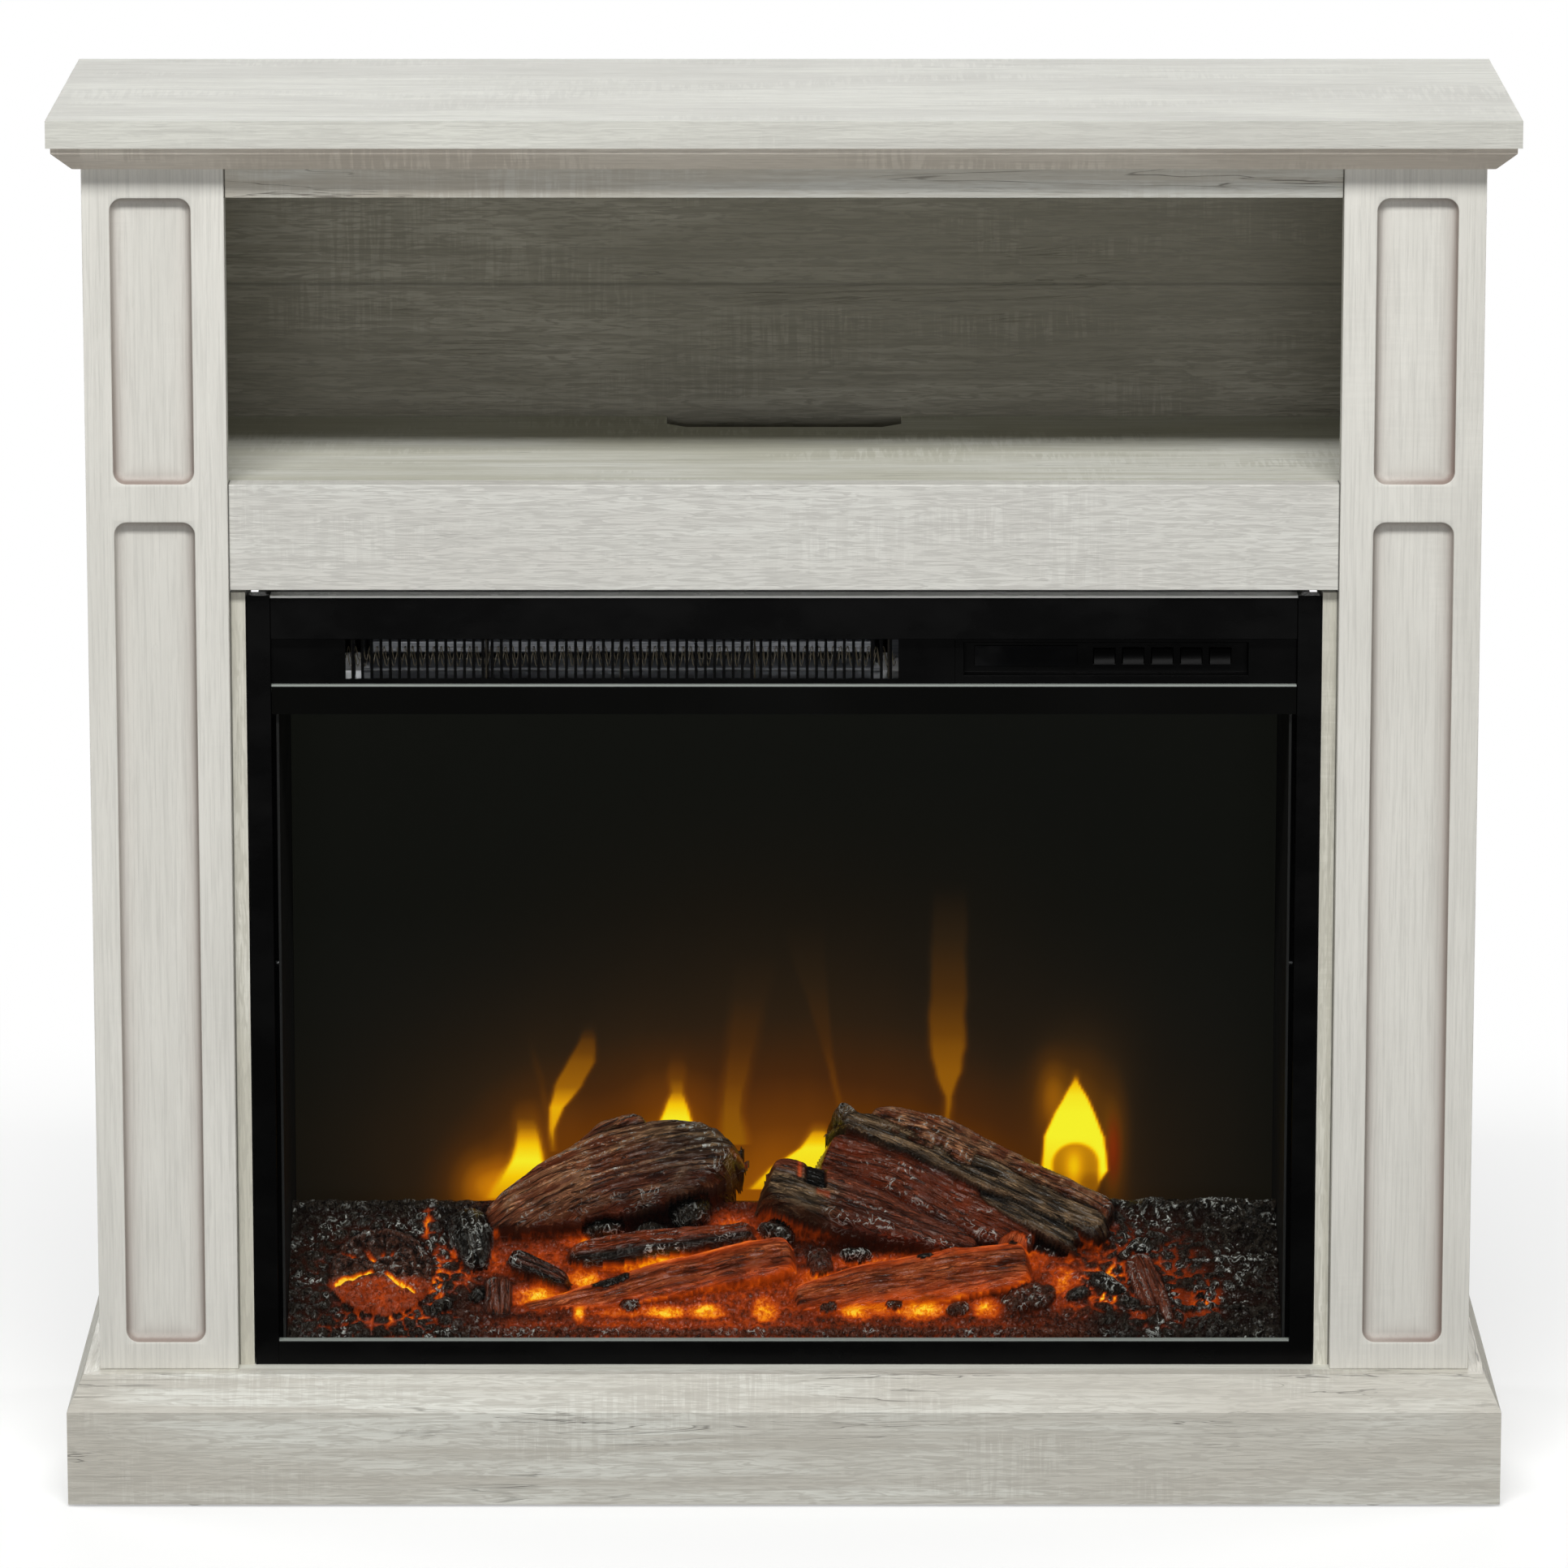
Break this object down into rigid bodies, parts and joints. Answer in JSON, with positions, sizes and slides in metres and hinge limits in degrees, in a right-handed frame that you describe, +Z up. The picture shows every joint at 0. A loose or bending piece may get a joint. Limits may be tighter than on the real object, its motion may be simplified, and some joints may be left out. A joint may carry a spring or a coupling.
{
  "type": "electric fireplace",
  "caption": "Compact electric fireplace: whitewashed woodgrain mantel with open media shelf, routed pilasters and a black glass-fronted insert with glowing log bed and fan heater.",
  "frame": {"origin": "on the floor, at the middle of the fireplace's width and depth", "axes": "+X to the right of someone facing the fire, +Y from the front towards the wall, +Z up"},
  "size_m": [0.85, 0.265, 0.829],
  "materials": {
    "whitewashed_wood": "whitewashed woodgrain laminate on board, low sheen",
    "raw_particle_board": "bare particle board",
    "nylon": "off-white nylon",
    "zinc_steel": "zinc-plated steel",
    "black_sheet": "black powder-coated sheet steel",
    "black_satin_frame": "satin black painted frame",
    "black_plastic": "fine-textured black moulding",
    "tinted_lens": "smoked gloss acrylic",
    "firebox_glass": "clear tempered glass with polished edges",
    "flame_screen": "tinted acrylic with a frosted back, lit by moving amber flames",
    "moulded_logs": "translucent moulded logs and coals, painted bark, amber glow in the crevices",
    "led_board": "white-masked circuit board with light-emitting diodes",
    "bright_sheet": "bright reflective sheet",
    "galvanised_sheet": "galvanised sheet steel",
    "motor_can": "plated motor casing",
    "resistance_wire": "nickel-chrome resistance wire",
    "mica": "pressed mica sheet",
    "phenolic": "black moulded plastic",
    "impeller_alloy": "thin aluminium blades",
    "circuit_board": "green solder mask with components",
    "button_plastic": "satin black push-button caps"
  },
  "bodies": {
    "cabinet": {"mantel_top": "whitewashed_wood", "crown_front": "whitewashed_wood", "crown_left": "whitewashed_wood", "crown_right": "whitewashed_wood", "top_rail": "whitewashed_wood", "pilaster_left": "whitewashed_wood", "pilaster_right": "whitewashed_wood", "side_panel_left": "whitewashed_wood", "side_panel_right": "whitewashed_wood", "shelf_board": "whitewashed_wood", "apron": "whitewashed_wood", "back_panel": "whitewashed_wood", "jamb_left": "whitewashed_wood", "jamb_right": "whitewashed_wood", "base_front": "whitewashed_wood", "base_left": "whitewashed_wood", "base_right": "whitewashed_wood", "base_board": "raw_particle_board", "base_back_rail": "raw_particle_board", "floor_glides": "nylon", "cam_locks": "zinc_steel", "cam_bolts": "zinc_steel", "wall_brackets": "zinc_steel", "insert_brackets": "zinc_steel", "screws": "zinc_steel", "case_wrapper": "black_sheet", "top_cover": "black_sheet", "rear_cover": "black_sheet", "firebox_liner": "black_sheet", "trim_left": "black_satin_frame", "trim_right": "black_satin_frame", "trim_bottom": "black_satin_frame", "top_fascia": "black_satin_frame", "outlet_grille": "black_plastic", "control_bezel": "black_plastic", "display_window": "tinted_lens", "glass_front": "firebox_glass", "flame_screen": "flame_screen", "log_bed": "moulded_logs", "ember_led_board": "led_board", "flame_led_board": "led_board", "flame_mask": "bright_sheet", "spindle_brackets": "galvanised_sheet", "heater_duct": "galvanised_sheet", "blower_housing": "galvanised_sheet", "flame_motor": "motor_can", "blower_motor": "motor_can", "heating_coil": "resistance_wire", "mica_frame": "mica", "thermal_cutout": "phenolic", "control_board": "circuit_board", "relay_board": "circuit_board", "cord_gland": "phenolic"},
    "spindle": {"flame_spindle": "bright_sheet"},
    "impeller": {"blower_impeller": "impeller_alloy"},
    "key_power": {"button_power": "button_plastic"},
    "key_heat": {"button_heat": "button_plastic"},
    "key_flame": {"button_flame": "button_plastic"},
    "key_timer": {"button_timer": "button_plastic"},
    "key_temperature": {"button_temperature": "button_plastic"}
  },
  "joints": [
    {"name": "flame_spin", "type": "hinge", "parent": "cabinet", "child": "spindle", "pos_m": [0, 0.0621, 0.15], "axis": [1, 0, 0], "continuous": true},
    {"name": "blower_spin", "type": "hinge", "parent": "cabinet", "child": "impeller", "pos_m": [-0.1, -0.0083, 0.5145], "axis": [1, 0, 0], "continuous": true},
    {"name": "power_press", "type": "slide", "parent": "cabinet", "child": "key_power", "axis": [0, 1, 0], "range_m": [0, 0.0015], "stiffness_N_per_m": 300, "springref_m": -0.0005},
    {"name": "heat_press", "type": "slide", "parent": "cabinet", "child": "key_heat", "axis": [0, 1, 0], "range_m": [0, 0.0015], "stiffness_N_per_m": 300, "springref_m": -0.0005},
    {"name": "flame_press", "type": "slide", "parent": "cabinet", "child": "key_flame", "axis": [0, 1, 0], "range_m": [0, 0.0015], "stiffness_N_per_m": 300, "springref_m": -0.0005},
    {"name": "timer_press", "type": "slide", "parent": "cabinet", "child": "key_timer", "axis": [0, 1, 0], "range_m": [0, 0.0015], "stiffness_N_per_m": 300, "springref_m": -0.0005},
    {"name": "temperature_press", "type": "slide", "parent": "cabinet", "child": "key_temperature", "axis": [0, 1, 0], "range_m": [0, 0.0015], "stiffness_N_per_m": 300, "springref_m": -0.0005}
  ]
}
